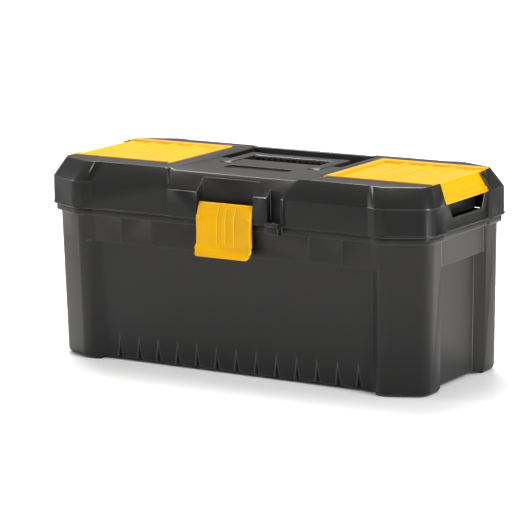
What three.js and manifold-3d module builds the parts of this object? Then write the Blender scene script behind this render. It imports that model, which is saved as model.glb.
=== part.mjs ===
// Toolbox with tray: a moulded base, a hinged lid with two organiser bays, a folding handle,
// a wide front latch and a lift-out tray. Millimetres, +Z up, front at -Y.
// The origin is at the centre of the footprint, on the surface that the feet stand on.
import * as THREE from 'three';
import { mergeVertices } from 'three/addons/utils/BufferGeometryUtils.js';
import { ConvexGeometry } from 'three/addons/geometries/ConvexGeometry.js';
import Module from 'manifold-3d';

const wasm = await Module();
wasm.setup();

// ---------- driving dimensions ----------
const LENGTH = 406; // lid, end to end
const BODY_DEPTH = 168; // lid, front wall to rear wall, without the posts
const BASE_HEIGHT = 143.7; // floor to the rim of the base
const LID_HEIGHT = 43; // rim of the lid to its top
const WALL = 2.6; // moulded wall
const GAP = 0.3; // between pieces that touch
const PLAY = 0.8; // between pieces that slide or lift out

// corner posts, which run down lid and base alike
const POST_PROUD = 3.2; // post in front of the lid wall
const POST_SPAN = 55; // end of the box to the inner foot of a post's step
const STEP_RUN = 8; // length of the slanted step
const POST_FLAT = 10; // flat front of the post
const FACET_TURN = 25; // degrees that the outer facet turns back
const CORNER_R = 12;
const CORNER_STEPS = 5;
const FACET_R = 16; // between the flat front of a post and its outer facet
const STEP_OUTER_R = 10;
const STEP_INNER_R = 6;
const END_POST_SPAN = 42; // front wall to the edge of the end bay
const END_STEP_RUN = 3;
const LID_END_SINK = 2; // end bay of the lid behind its posts

// lid
const CHAMFER_H = 17.4;
const CHAMFER_X = 9.2;
const CHAMFER_Y = 11.8;
const CENTRE_PAD = 1.2; // centre of the front wall stands proud
const DECK_DROP = 2.3; // centre deck below the top
const DECK_SIDE_RUN = 8;
const RAMP_NARROW = 0.513; // how much that half width shrinks for each mm down
const DECK_IN = 17.5; // hinge edge of an organiser lid to the side of the deck
const RAMP_IN = 11.5; // hinge edge of an organiser lid to the top of the sloped front facet
const RAMP_BACK = 16.2; // front wall to the deck edge
const REAR_RIM_DROP = 0.9;

// rim and base
const RIM_INSET = 2; // rim flange behind the lid wall
const RIM_H = 5.9;
const BASE_INSET_X = 5.5; // base wall behind the lid wall, at the ends
const BASE_INSET_Y = 6.2;
const BAND_SINK = 1.6; // band behind the posts of the base
const BAND_H = 24.4;
const PANEL_SINK = 9; // panel behind the posts of the base
const PANEL_STEP_RUN = 11;
const END_PANEL_SINK = 7;
const DRAFT_X = 2.5; // the base narrows by this at each end towards the floor
const DRAFT_Y = 2;
const FOOT_H = 3;
const FLOOR = 3;
const GROOVE_COUNT = 13;
const GROOVE_MARGIN = 19; // inner foot of a post's step to the last groove
const GROOVE_HALF = 5.2;
const GROOVE_DEPTH = 5;
const GROOVE_H = 28;
const FOOT_ROUND_H = 5; // height of the rounding at the foot of the base
const FOOT_ROUND_IN = 3.2;
const ROOT_THICK = 4.6; // extra wall at the floor, so that the grooves stay closed
const BAND_RIBS_IN = [85, 119]; // end of the box to a rib on the band
const BAND_RIB_W = 1.4;
const BAND_RIB_PROUD = 0.35;

// organiser bays and their lids
const BAY_APART = 15.5; // side of the handle well to the hinge edge of an organiser lid
const BAY_FRONT = 35.8; // front wall to the front edge of an organiser lid
const BAY_REAR = 28.9;
const BAY_END_TOP = 10.7; // end of the box to the bend of an organiser lid
const BAY_LIP_X = 2.5; // end of the box to the bottom of the lip
const BAY_LIP_H = 19.1; // drop of the lip
const ORG_PLATE = 3.6;
const ORG_PROUD = 0.8;
const ORG_FRAME = 9; // raised frame round the sunk floor of the lid
const ORG_FRONT_FRAME = 2.5;
const ORG_SINK = 2.2;
const ORG_LIP_SINK = 1.2;
const ORG_RIB_COUNT = 3;
const ORG_RIB_W = 7; // at its foot
const ORG_RIB_TOP_W = 3;
const ORG_BARREL_R = 2.1;
const ORG_PEG_R = 1.4;
const ORG_PEG = 2.6;
const BAY_WALL = 2.2;
const BAY_MARGIN = 4.4; // edge of the lid to the inside of the bay
const BAY_END_MARGIN = 14; // end of the box to the inside of the bay
const BAY_FLOOR_DROP = 30.2;
const BAY_CORNER_CUT = 20;
const BAY_DIVIDERS = 2;
const DIVIDER_T = 1.8;
const GRIP_SLOT_HALF = 27; // end slot under the lip, at its bottom
const GRIP_SLOT_FLARE = 6;
const GRIP_SLOT_LOW = 11.6; // rim of the lid to the bottom of the slot
const GRIP_SLOT_INSIDE = 11; // depth of the slot from the end of the box

// carry handle and its well
const HANDLE_HALF = 53.3;
const HANDLE_ARM_W = 11;
const HANDLE_ARM_R = 5.6;
const HANDLE_REACH = 52; // pivot to the rear face of the grip
const HANDLE_GRIP_Y = 13.5;
const HANDLE_GRIP_Z = 13;
const HANDLE_TOP = 1.9; // top of the handle below the top of the lid
const HANDLE_PIN_R = 1.9;
const GRIP_RIBS = 11;
const GRIP_RIB_DEPTH = 1.1;
const WELL_SIDE = 12.7; // handle arm to the side of its well
const WELL_IN = 16; // rear wall to the rear of the well
const WELL_BEHIND = 21.5; // rear of the well to the grip
const FINGER_ROOM = 22; // front of the well to the grip
const WELL_PLAY = 1.1; // grip above the floor of the well
const ARM_PLAY = 1.6; // end of a handle arm to the end of its slot
const LABEL_HALF = 34; // shallow tray in the front of the deck
const LABEL_APART = 7.8; // slot of a handle arm to the shallow tray
const LABEL_W = 15;
const LABEL_DEPTH = 2.2;

// front latch
const LATCH_HALF = 28.7;
const LATCH_FLARE = 1.9;
const LATCH_T = 2.5;
const LATCH_SIDE_PLAY = 1.3;
const LATCH_RECESS_DEPTH = 12.7;
const LATCH_PIVOT_UP = 12; // rim of the lid to the latch pin
const LATCH_PIVOT_IN = 4.5; // front wall to the latch pin
const LATCH_BARREL_R = 4;
const LATCH_PIN_R = 1.7;
const LATCH_TOP_UP = 17;
const LATCH_BEND_UP = 3;
const LATCH_LOW_BEND = 22; // rim of the lid down to the lower bend
const LATCH_LIP = 31.5;
const LATCH_FRONT = 5; // face of the latch in front of the wall
const LATCH_LIP_FRONT = 9.5;
const LATCH_SIDE = 4.2;
const LATCH_GROOVES = [-6, 2.8, 12];
const CATCH_IN = 4.7; // side of the latch to the end of its catch
const CATCH_H = 4;
const CATCH_PROUD = 3.6;

// padlock eyes
const EYE_APART = 14.3; // recess of the latch to the slot over the eyes
const PAD_PAST_EYE = 3.1;
const EYE_HALF = 6.8;
const EYE_PROUD = 5.5;
const EYE_LID_H = 4;
const EYE_BASE_H = 6.2;
const EYE_HOLE_R = 2.75;
const EYE_SLOT_HALF = 7.3;
const EYE_SLOT_DEPTH = 7.2;

// rear hinge
const HINGE_IN = 108; // end of the box to the middle of a hinge
const HINGE_OUT = 6.5; // rear wall to the hinge axis
const HINGE_R = 3;
const HINGE_PIN_R = 1.4;
const HINGE_LID_KNUCKLE = 30;
const HINGE_BASE_KNUCKLE = 13;
const HINGE_ARM_T = 3.4;

// lift-out tray
const TRAY_DROP = 28; // part of the tray below its ledge
const TRAY_RISE = 25; // part above the ledge
const TRAY_CORNER_R = 28;
const TRAY_LOW_CORNER_R = 14;
const TRAY_WALL = 2;
const TRAY_HANDLE_HALF = 58;
const TRAY_HEADROOM = 5.5; // top of its handle to the floor of the handle well
const TRAY_HANDLE_T = 6;
const TRAY_COLUMNS = 4;

// ---------- derived places ----------
const HALF_L = LENGTH / 2;
const HALF_D = BODY_DEPTH / 2;
const LID_RIM = BASE_HEIGHT + GAP;
const TOP = LID_RIM + LID_HEIGHT;
const CHAMFER_Z = TOP - CHAMFER_H;
const DECK = TOP - DECK_DROP;
const RIM_Z = BASE_HEIGHT - RIM_H;
const BAND_Z = RIM_Z - BAND_H;
const BASE_POST_Y = HALF_D + POST_PROUD - BASE_INSET_Y;
const BASE_END_X = HALF_L - BASE_INSET_X;
const FRONT = -HALF_D - CENTRE_PAD;
const REAR = HALF_D;
const HINGE_Y = REAR + HINGE_OUT;
const LEDGE_Z = BAND_Z + WALL; // shelf inside the base that the tray rests on
const GROOVE_PITCH = (2 * (HALF_L - POST_SPAN - GROOVE_MARGIN)) / (GROOVE_COUNT - 1);
const HINGE_X = HALF_L - HINGE_IN;
const WELL_HALF = HANDLE_HALF + WELL_SIDE;
const WELL_REAR = HALF_D - WELL_IN;
const WELL_DEPTH = HANDLE_TOP + HANDLE_GRIP_Z + WELL_PLAY;
const HANDLE_PIVOT_Y = WELL_REAR - WELL_BEHIND - HANDLE_REACH;
const WELL_FRONT = HANDLE_PIVOT_Y + HANDLE_REACH - HANDLE_GRIP_Y - FINGER_ROOM;
const ARM_SLOT_FRONT = HANDLE_PIVOT_Y - HANDLE_ARM_R - ARM_PLAY;
const LABEL_REAR = ARM_SLOT_FRONT - LABEL_APART;
const LABEL_FRONT = LABEL_REAR - LABEL_W;
const BAY_INNER = WELL_HALF + BAY_APART;
const DECK_HALF = BAY_INNER - DECK_IN;
const RAMP_HALF = BAY_INNER - RAMP_IN;
const LATCH_RECESS_HALF = LATCH_HALF + LATCH_SIDE_PLAY;
const CATCH_HALF = LATCH_HALF - CATCH_IN;
const EYE_X = LATCH_RECESS_HALF + EYE_APART + EYE_SLOT_HALF;
const CENTRE_PAD_HALF = EYE_X + EYE_SLOT_HALF + PAD_PAST_EYE;
const ROUND = 20; // sides of a round pin
const FINE_ROUND = 16;

// ---------- solids ----------
function solid(geometry) {
  const bare = geometry.index ? geometry.toNonIndexed() : geometry.clone();
  bare.deleteAttribute('normal');
  bare.deleteAttribute('uv');
  const merged = mergeVertices(bare, 1e-4);
  return new wasm.Manifold(new wasm.Mesh({
    numProp: 3,
    vertProperties: new Float32Array(merged.attributes.position.array),
    triVerts: new Uint32Array(merged.index.array),
  }));
}

function geometryOf(body) {
  const mesh = body.getMesh();
  const geometry = new THREE.BufferGeometry();
  geometry.setAttribute('position', new THREE.BufferAttribute(new Float32Array(mesh.vertProperties), 3));
  geometry.setIndex(new THREE.BufferAttribute(new Uint32Array(mesh.triVerts), 1));
  const faceted = geometry.toNonIndexed();
  faceted.computeVertexNormals();
  return faceted;
}

function addAll(first, others) {
  return others.reduce((sum, other) => sum.add(other), first);
}

function cutAll(first, cutters) {
  return cutters.reduce((rest, cutter) => rest.subtract(cutter), first);
}

function box(x0, x1, y0, y1, z0, z1) {
  const geometry = new THREE.BoxGeometry(x1 - x0, y1 - y0, z1 - z0);
  geometry.translate((x0 + x1) / 2, (y0 + y1) / 2, (z0 + z1) / 2);
  return solid(geometry);
}

function hull(points) {
  return solid(new ConvexGeometry(points.map((p) => new THREE.Vector3(...p))));
}

function shapeOf(points) {
  return new THREE.Shape(points.map(([a, b]) => new THREE.Vector2(a, b)));
}

// A plan outline carried up through levels; each level has its height and its scale in X and Y.
function stack(points, levels) {
  const steps = levels.length - 1;
  const geometry = new THREE.ExtrudeGeometry(shapeOf(points), { depth: steps, steps, bevelEnabled: false });
  const position = geometry.attributes.position;
  for (let i = 0; i < position.count; i += 1) {
    const level = levels[Math.round(position.getZ(i))];
    position.setXYZ(i, position.getX(i) * level.sx, position.getY(i) * level.sy, level.z);
  }
  return solid(geometry);
}

function straight(points, z0, z1) {
  return stack(points, [{ z: z0, sx: 1, sy: 1 }, { z: z1, sx: 1, sy: 1 }]);
}

// A profile of [y, z] points carried along X.
function prismX(points, x0, x1) {
  const geometry = new THREE.ExtrudeGeometry(shapeOf(points), { depth: x1 - x0, bevelEnabled: false });
  geometry.applyMatrix4(new THREE.Matrix4().set(0, 0, 1, x0, 1, 0, 0, 0, 0, 1, 0, 0, 0, 0, 0, 1));
  return solid(geometry);
}

// A profile of [x, z] points carried along Y.
function prismY(points, y0, y1) {
  const turned = points.map(([x, z]) => [z, x]);
  const geometry = new THREE.ExtrudeGeometry(shapeOf(turned), { depth: y1 - y0, bevelEnabled: false });
  geometry.applyMatrix4(new THREE.Matrix4().set(0, 1, 0, 0, 0, 0, 1, y0, 1, 0, 0, 0, 0, 0, 0, 1));
  return solid(geometry);
}

function rodX(r, x0, x1, y, z, sides = ROUND) {
  const geometry = new THREE.CylinderGeometry(r, r, x1 - x0, sides);
  geometry.rotateZ(-Math.PI / 2);
  geometry.translate((x0 + x1) / 2, y, z);
  return solid(geometry);
}

function rodY(r, x, y0, y1, z, sides = ROUND) {
  const geometry = new THREE.CylinderGeometry(r, r, y1 - y0, sides);
  geometry.translate(x, (y0 + y1) / 2, z);
  return solid(geometry);
}

function rodZ(r, x, y, z0, z1, sides = ROUND) {
  const geometry = new THREE.CylinderGeometry(r, r, z1 - z0, sides);
  geometry.rotateX(Math.PI / 2);
  geometry.translate(x, y, (z0 + z1) / 2);
  return solid(geometry);
}

function arc(cx, cy, r, from, to, steps) {
  const points = [];
  for (let i = 0; i <= steps; i += 1) {
    const angle = from + ((to - from) * i) / steps;
    points.push([cx + r * Math.cos(angle), cy + r * Math.sin(angle)]);
  }
  return points;
}

function roundedRectangle(halfX, halfY, r, steps = CORNER_STEPS) {
  const quarter = arc(halfX - r, halfY - r, r, 0, Math.PI / 2, steps);
  return fourQuarters(quarter);
}

// Repeats the points of the +X +Y quarter, listed from the X axis to the Y axis, all the way round.
function fourQuarters(quarter) {
  const back = [...quarter].reverse();
  return [
    ...quarter,
    ...back.map(([x, y]) => [-x, y]),
    ...quarter.map(([x, y]) => [-x, -y]),
    ...back.map(([x, y]) => [x, -y]),
  ];
}

// The points that round off a corner between two straight runs.
function roundCorner(before, corner, after, r, steps = 3) {
  const here = new THREE.Vector2(...corner);
  const back = new THREE.Vector2(...before).sub(here).normalize();
  const ahead = new THREE.Vector2(...after).sub(here).normalize();
  const half = Math.acos(back.dot(ahead)) / 2;
  const reach = r / Math.tan(half);
  const middle = back.clone().add(ahead).normalize().multiplyScalar(r / Math.sin(half)).add(here);
  const points = [];
  for (let i = 0; i <= steps; i += 1) {
    const along = back.clone().lerp(ahead, i / steps).multiplyScalar(reach).add(here);
    const spoke = along.sub(middle).normalize().multiplyScalar(r);
    points.push([middle.x + spoke.x, middle.y + spoke.y]);
  }
  return points;
}

// The outline of the box in plan: four corner posts with a slanted step to each recessed bay.
function postOutline({ end, endBay, endStep = END_STEP_RUN, post, bay, step = STEP_RUN }) {
  const turn = THREE.MathUtils.degToRad(FACET_TURN);
  const stepFoot = HALF_L - POST_SPAN + STEP_RUN - step;
  const flatStart = stepFoot + step;
  const flatEnd = flatStart + POST_FLAT;
  const reach = flatEnd * Math.sin(turn) + post * Math.cos(turn);
  const cornerX = end - CORNER_R;
  const cornerY = (reach - CORNER_R - cornerX * Math.sin(turn)) / Math.cos(turn);
  const endEdge = HALF_D - END_POST_SPAN;
  const bend = arc(cornerX, cornerY, CORNER_R, 0, Math.PI / 2 - turn, CORNER_STEPS);
  return fourQuarters([
    [endBay, endEdge - endStep],
    [end, endEdge],
    ...bend,
    ...roundCorner(bend[CORNER_STEPS], [flatEnd, post], [flatStart, post], FACET_R),
    ...roundCorner([flatEnd, post], [flatStart, post], [stepFoot, bay], STEP_OUTER_R),
    ...roundCorner([flatStart, post], [stepFoot, bay], [0, bay], STEP_INNER_R),
  ]);
}

function lidOutline(inset) {
  return postOutline({
    end: HALF_L - inset,
    endBay: HALF_L - LID_END_SINK - inset,
    post: HALF_D + POST_PROUD - inset,
    bay: HALF_D - inset,
  });
}

function baseOutline(inset, baySink, endSink, step, endStep) {
  return postOutline({
    end: BASE_END_X - inset,
    endBay: BASE_END_X - endSink - inset,
    endStep,
    post: BASE_POST_Y - inset,
    bay: BASE_POST_Y - baySink - inset,
    step,
  });
}

// Scale of the base at a height, from its draft.
function draftAt(z) {
  const down = (RIM_Z - z) / RIM_Z;
  return { z, sx: 1 - (DRAFT_X / BASE_END_X) * down, sy: 1 - (DRAFT_Y / BASE_POST_Y) * down };
}

// Scale of the base at a height in the rounding of its foot.
function footAt(z, inset) {
  const { sx, sy } = draftAt(z);
  return { z, sx: sx * (1 - inset / BASE_END_X), sy: sy * (1 - inset / BASE_POST_Y) };
}

function drafted(points, z0, z1) {
  return stack(points, [draftAt(z0), draftAt(z1)]);
}

// ---------- base ----------
function panelGrooves() {
  const grooves = [];
  const surface = BASE_POST_Y - PANEL_SINK;
  for (let i = 0; i < GROOVE_COUNT; i += 1) {
    const x = (i - (GROOVE_COUNT - 1) / 2) * GROOVE_PITCH;
    for (const side of [-1, 1]) {
      grooves.push(hull([
        [x, side * (surface + 0.5), FOOT_H + GROOVE_H],
        [x - GROOVE_HALF, side * (surface + 1), -1],
        [x + GROOVE_HALF, side * (surface + 1), -1],
        [x, side * (surface - DRAFT_Y - GROOVE_DEPTH), -1],
      ]));
    }
  }
  return grooves;
}

function bandRibs() {
  const ribs = [];
  const face = BASE_POST_Y - BAND_SINK;
  const half = BAND_RIB_W / 2;
  for (const inset of BAND_RIBS_IN) {
    for (const x of [inset - HALF_L, HALF_L - inset]) {
      ribs.push(box(x - half, x + half, -face - BAND_RIB_PROUD, -face + 1, BAND_Z + 2, RIM_Z + 1));
    }
  }
  return ribs;
}

function latchCatch() {
  const face = BASE_POST_Y - BAND_SINK;
  const low = LID_RIM - LATCH_LOW_BEND - CATCH_H;
  return box(-CATCH_HALF, CATCH_HALF, -face - CATCH_PROUD, -face + 1, low, low + CATCH_H);
}

function eyeLug(z0, z1) {
  const front = -HALF_D - EYE_PROUD;
  return box(EYE_X - EYE_HALF, EYE_X + EYE_HALF, front, -HALF_D + RIM_INSET + 2, z0, z1);
}

function eyeHole(z0, z1) {
  return rodZ(EYE_HOLE_R, EYE_X, -HALF_D - EYE_PROUD + EYE_HOLE_R + 1.8, z0 - 1, z1 + 1, FINE_ROUND);
}

function hingeSpans(side) {
  const middle = HINGE_LID_KNUCKLE / 2;
  const outer = middle + GAP + HINGE_BASE_KNUCKLE;
  const x = side * HINGE_X;
  return {
    lid: [[x - middle, x + middle]],
    base: [[x - outer, x - middle - GAP], [x + middle + GAP, x + outer]],
    pin: [x - outer + 1, x + outer - 1],
  };
}

function hingeKnuckle([x0, x1], armLow, armHigh) {
  const arm = box(x0, x1, REAR - RIM_INSET - 1.5, HINGE_Y, armLow, armHigh);
  return arm.add(rodX(HINGE_R, x0, x1, HINGE_Y, LID_RIM));
}

function hingeBore([x0, x1]) {
  return rodX(HINGE_PIN_R + GAP, x0 - 0.5, x1 + 0.5, HINGE_Y, LID_RIM, FINE_ROUND);
}

// The room below the tray; its walls thicken towards the floor, behind the grooves.
function lowRoom() {
  const plan = baseOutline(WALL, PANEL_SINK, END_PANEL_SINK, PANEL_STEP_RUN, PANEL_STEP_RUN);
  const floor = draftAt(FOOT_H + FLOOR);
  const thick = {
    z: floor.z,
    sx: floor.sx * (1 - ROOT_THICK / BASE_END_X),
    sy: floor.sy * (1 - ROOT_THICK / HALF_D),
  };
  return stack(plan, [thick, draftAt(FOOT_H + GROOVE_H + ROOT_THICK), draftAt(LEDGE_Z + 1)]);
}

function baseShell() {
  const panels = stack(baseOutline(0, PANEL_SINK, END_PANEL_SINK, PANEL_STEP_RUN, PANEL_STEP_RUN), [
    footAt(0, FOOT_ROUND_IN),
    footAt(FOOT_ROUND_H / 3, FOOT_ROUND_IN / 3),
    draftAt(FOOT_ROUND_H),
    draftAt(RIM_Z),
  ]);
  const band = drafted(baseOutline(0, BAND_SINK, BAND_SINK, STEP_RUN, END_STEP_RUN), BAND_Z, RIM_Z);
  const rim = straight(lidOutline(RIM_INSET), RIM_Z, BASE_HEIGHT);
  const outside = addAll(panels, [band, rim, ...bandRibs(), latchCatch()]);
  const highRoom = baseOutline(WALL, BAND_SINK, BAND_SINK, STEP_RUN, END_STEP_RUN);
  const footX = HALF_L - POST_SPAN + 1;
  const footY = HALF_D - END_POST_SPAN;
  const far = HALF_L + 5;
  const eye = eyeLug(BASE_HEIGHT - EYE_BASE_H, BASE_HEIGHT);
  let base = cutAll(outside.add(eye), [
    lowRoom(),
    stack(highRoom, [draftAt(LEDGE_Z), draftAt(BASE_HEIGHT + 1)]),
    box(-footX, footX, -far, far, -1, FOOT_H),
    box(-far, far, -footY, footY, -1, FOOT_H),
    ...panelGrooves(),
    eyeHole(BASE_HEIGHT - EYE_BASE_H, BASE_HEIGHT),
  ]);
  for (const side of [-1, 1]) {
    const spans = hingeSpans(side);
    for (const span of spans.base) {
      base = base.add(hingeKnuckle(span, LID_RIM - 1 - HINGE_ARM_T, LID_RIM - 1)).subtract(hingeBore(span));
    }
    for (const [x0, x1] of spans.lid) {
      base = base.subtract(rodX(HINGE_R + PLAY, x0 - GAP, x1 + GAP, HINGE_Y, LID_RIM));
    }
  }
  return base;
}

// ---------- lid ----------
// Cuts the sloped front facet and the sunk deck in the middle of the lid.
function centreCutters() {
  const wallZ = CHAMFER_Z;
  const slope = (DECK - wallZ) / RAMP_BACK;
  const lowY = FRONT - 3;
  const lowZ = wallZ - 3 * slope;
  const highY = FRONT + RAMP_BACK + 14;
  const highZ = DECK + 14 * slope;
  const lowHalf = RAMP_HALF - (TOP - lowZ) * RAMP_NARROW;
  const highHalf = RAMP_HALF + (highZ - TOP) * RAMP_NARROW;
  const ramp = hull([
    [-lowHalf, lowY, lowZ], [lowHalf, lowY, lowZ],
    [-highHalf, highY, highZ], [highHalf, highY, highZ],
    [-highHalf, lowY, highZ], [highHalf, lowY, highZ],
  ]);
  const over = 4;
  const overHalf = DECK_HALF + (DECK_SIDE_RUN * (DECK_DROP + over)) / DECK_DROP;
  const deckSection = [
    [-DECK_HALF, DECK], [DECK_HALF, DECK],
    [overHalf, TOP + over], [-overHalf, TOP + over],
  ];
  const deck = prismY(deckSection, FRONT + RAMP_BACK - 8, WELL_REAR);
  const rearSection = deckSection.map(([x, z]) => [x, z + DECK_DROP - REAR_RIM_DROP]);
  const rear = prismY(rearSection, WELL_REAR - 1, HALF_D + 5);
  return [ramp, deck, rear];
}

// Side profile of an organiser lid on the +X side: plate, bend and sloped lip; grow adds clearance.
function organiserProfile(grow) {
  const z = TOP + ORG_PROUD;
  const top = [HALF_L - BAY_END_TOP, z];
  const low = [HALF_L - BAY_LIP_X, z - BAY_LIP_H];
  const run = new THREE.Vector2(low[0] - top[0], low[1] - top[1]).normalize();
  const across = [-run.y, run.x];
  const t = ORG_PLATE + grow;
  const lowOut = [low[0] + run.x * grow, low[1] + run.y * grow];
  return {
    top,
    low,
    run,
    points: [
      [BAY_INNER + ORG_BARREL_R - grow, z + grow * 3],
      [top[0] + grow * 2, z + grow * 3],
      [lowOut[0] + across[0] * grow * 6, lowOut[1] + across[1] * grow * 6],
      [lowOut[0] - across[0] * t, lowOut[1] - across[1] * t],
      [top[0] - t * ((1 - run.x) / -run.y), z - t],
      [BAY_INNER + ORG_BARREL_R - grow, z - t],
    ],
  };
}

const BAY_Y0 = -HALF_D + BAY_FRONT;
const BAY_Y1 = HALF_D - BAY_REAR;
const BARREL_X = BAY_INNER + ORG_BARREL_R;
const BARREL_Z = TOP + ORG_PROUD - ORG_BARREL_R;

function mirroredX(body) {
  return body.mirror([1, 0, 0]);
}

// Room that an organiser lid, its barrel and its pegs need in the lid of the box, on the +X side.
function organiserSeat() {
  const seat = prismY(organiserProfile(GAP).points, BAY_Y0 - GAP, BAY_Y1 + GAP);
  const barrel = rodY(ORG_BARREL_R + GAP, BARREL_X, BAY_Y0 - GAP, BAY_Y1 + GAP, BARREL_Z);
  const aboveX = BARREL_X - ORG_BARREL_R - GAP;
  const above = box(aboveX, BARREL_X + 1, BAY_Y0 - GAP, BAY_Y1 + GAP, BARREL_Z, TOP + 5);
  const reach = ORG_PEG + GAP;
  const pegs = rodY(ORG_PEG_R + GAP, BARREL_X, BAY_Y0 - reach, BAY_Y1 + reach, BARREL_Z, FINE_ROUND);
  return addAll(seat, [barrel, above, pegs]);
}

function bayPlan(grow) {
  const x0 = BAY_INNER + BAY_MARGIN + 1 - grow;
  const x1 = HALF_L - BAY_END_MARGIN + grow;
  const y0 = BAY_Y0 + BAY_MARGIN - grow;
  const y1 = BAY_Y1 - BAY_MARGIN + grow;
  const cut = BAY_CORNER_CUT + grow * 0.4;
  return [[x0, y0], [x1 - cut, y0], [x1, y0 + cut], [x1, y1 - cut], [x1 - cut, y1], [x0, y1]];
}

function bayRoom() {
  let room = straight(bayPlan(0), TOP - BAY_FLOOR_DROP, TOP + 1);
  const x0 = BAY_INNER + BAY_MARGIN + 1;
  const x1 = HALF_L - BAY_END_MARGIN;
  for (let i = 1; i <= BAY_DIVIDERS; i += 1) {
    const x = x0 + ((x1 - x0) * i) / (BAY_DIVIDERS + 1);
    const high = TOP - ORG_PLATE - 2;
    room = room.subtract(box(x - DIVIDER_T / 2, x + DIVIDER_T / 2, BAY_Y0, BAY_Y1, 0, high));
  }
  return room;
}

function bayBody() {
  return straight(bayPlan(BAY_WALL), TOP - BAY_FLOOR_DROP - BAY_WALL, TOP - 1);
}

function gripSlot() {
  const low = LID_RIM + GRIP_SLOT_LOW;
  const high = TOP + ORG_PROUD - BAY_LIP_H - GAP;
  const half = GRIP_SLOT_HALF;
  const wide = half + GRIP_SLOT_FLARE;
  const x0 = HALF_L - GRIP_SLOT_INSIDE;
  return prismX([[-half, low], [half, low], [wide, high + 1], [-wide, high + 1]], x0, HALF_L + 2);
}

function handlePivot() {
  return { y: HANDLE_PIVOT_Y, z: TOP - HANDLE_TOP - HANDLE_ARM_R };
}

function wellRooms(grow) {
  const floorZ = TOP - WELL_DEPTH - grow;
  const armIn = HANDLE_HALF - HANDLE_ARM_W - PLAY - grow;
  const armOut = HANDLE_HALF + PLAY + grow;
  const front = ARM_SLOT_FRONT - grow;
  const high = TOP + 1;
  const rooms = [box(-WELL_HALF - grow, WELL_HALF + grow, WELL_FRONT - grow, WELL_REAR + grow, floorZ, high)];
  for (const side of [-1, 1]) {
    const [x0, x1] = side > 0 ? [armIn, armOut] : [-armOut, -armIn];
    rooms.push(box(x0, x1, front, WELL_FRONT + 1, floorZ, high));
  }
  return rooms;
}

function labelRoom(grow) {
  const low = DECK - LABEL_DEPTH - grow;
  return box(-LABEL_HALF - grow, LABEL_HALF + grow, LABEL_FRONT - grow, LABEL_REAR + grow, low, TOP + 1);
}

function latchRoom(grow) {
  const back = FRONT + LATCH_RECESS_DEPTH + grow;
  const half = LATCH_RECESS_HALF + grow;
  return box(-half, half, FRONT - 4, back, LID_RIM - 1, TOP + 1);
}

function eyeRoom(grow) {
  const half = EYE_SLOT_HALF + grow;
  const back = FRONT + EYE_SLOT_DEPTH + grow;
  return box(EYE_X - half, EYE_X + half, FRONT - 4, back, LID_RIM + EYE_LID_H - grow, TOP + 1);
}

function lidShell() {
  const scaleX = (HALF_L - CHAMFER_X) / HALF_L;
  const scaleY = (HALF_D - CHAMFER_Y) / HALF_D;
  const levels = [
    { z: LID_RIM, sx: 1, sy: 1 },
    { z: CHAMFER_Z, sx: 1, sy: 1 },
    { z: TOP, sx: scaleX, sy: scaleY },
  ];
  const pad = box(-CENTRE_PAD_HALF, CENTRE_PAD_HALF, FRONT, -HALF_D + 2, LID_RIM, CHAMFER_Z);
  const outside = stack(lidOutline(0), levels).add(pad);
  const insideTop = TOP - WALL - DECK_DROP;
  const inside = stack(lidOutline(WALL), [
    { z: LID_RIM - 1, sx: 1, sy: 1 },
    { z: CHAMFER_Z - 3, sx: 1, sy: 1 },
    { z: insideTop, sx: (HALF_L - CHAMFER_X - 9) / HALF_L, sy: (HALF_D - CHAMFER_Y - 4) / HALF_D },
  ]);
  const pockets = [bayBody(), mirroredX(bayBody()), ...wellRooms(BAY_WALL), labelRoom(BAY_WALL)];
  const frontPockets = [latchRoom(WALL), eyeRoom(BAY_WALL)];
  const room = cutAll(inside, [...pockets, ...frontPockets]);
  const pivot = handlePivot();
  const latchAxis = { y: -HALF_D + LATCH_PIVOT_IN, z: LID_RIM + LATCH_PIVOT_UP };
  let lid = cutAll(outside, [room, ...centreCutters(), bayRoom(), mirroredX(bayRoom())]);
  lid = cutAll(lid, [organiserSeat(), mirroredX(organiserSeat()), gripSlot(), mirroredX(gripSlot())]);
  lid = cutAll(lid, [...wellRooms(0), labelRoom(0), latchRoom(0), eyeRoom(0)]);
  const pinReach = HANDLE_HALF + PLAY + BAY_WALL - 0.5;
  const pinStart = HANDLE_HALF - HANDLE_ARM_W - PLAY - BAY_WALL + 0.5;
  for (const side of [-1, 1]) {
    const [x0, x1] = side > 0 ? [pinStart, pinReach] : [-pinReach, -pinStart];
    lid = lid.subtract(rodX(HANDLE_PIN_R + GAP, x0 - GAP, x1 + GAP, pivot.y, pivot.z));
  }
  const latchPinHalf = LATCH_RECESS_HALF + WALL - 0.6;
  const pinHoleHalf = latchPinHalf + GAP;
  lid = lid.subtract(rodX(LATCH_PIN_R + GAP, -pinHoleHalf, pinHoleHalf, latchAxis.y, latchAxis.z));
  lid = lid.add(eyeLug(LID_RIM, LID_RIM + EYE_LID_H)).subtract(eyeHole(LID_RIM, LID_RIM + EYE_LID_H));
  for (const side of [-1, 1]) {
    const spans = hingeSpans(side);
    for (const span of spans.lid) {
      lid = lid.add(hingeKnuckle(span, LID_RIM + 0.6, LID_RIM + 0.6 + HINGE_ARM_T)).subtract(hingeBore(span));
    }
    for (const [x0, x1] of spans.base) {
      lid = lid.subtract(rodX(HINGE_R + PLAY, x0 - GAP, x1 + GAP, HINGE_Y, LID_RIM));
    }
  }
  return lid;
}

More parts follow.
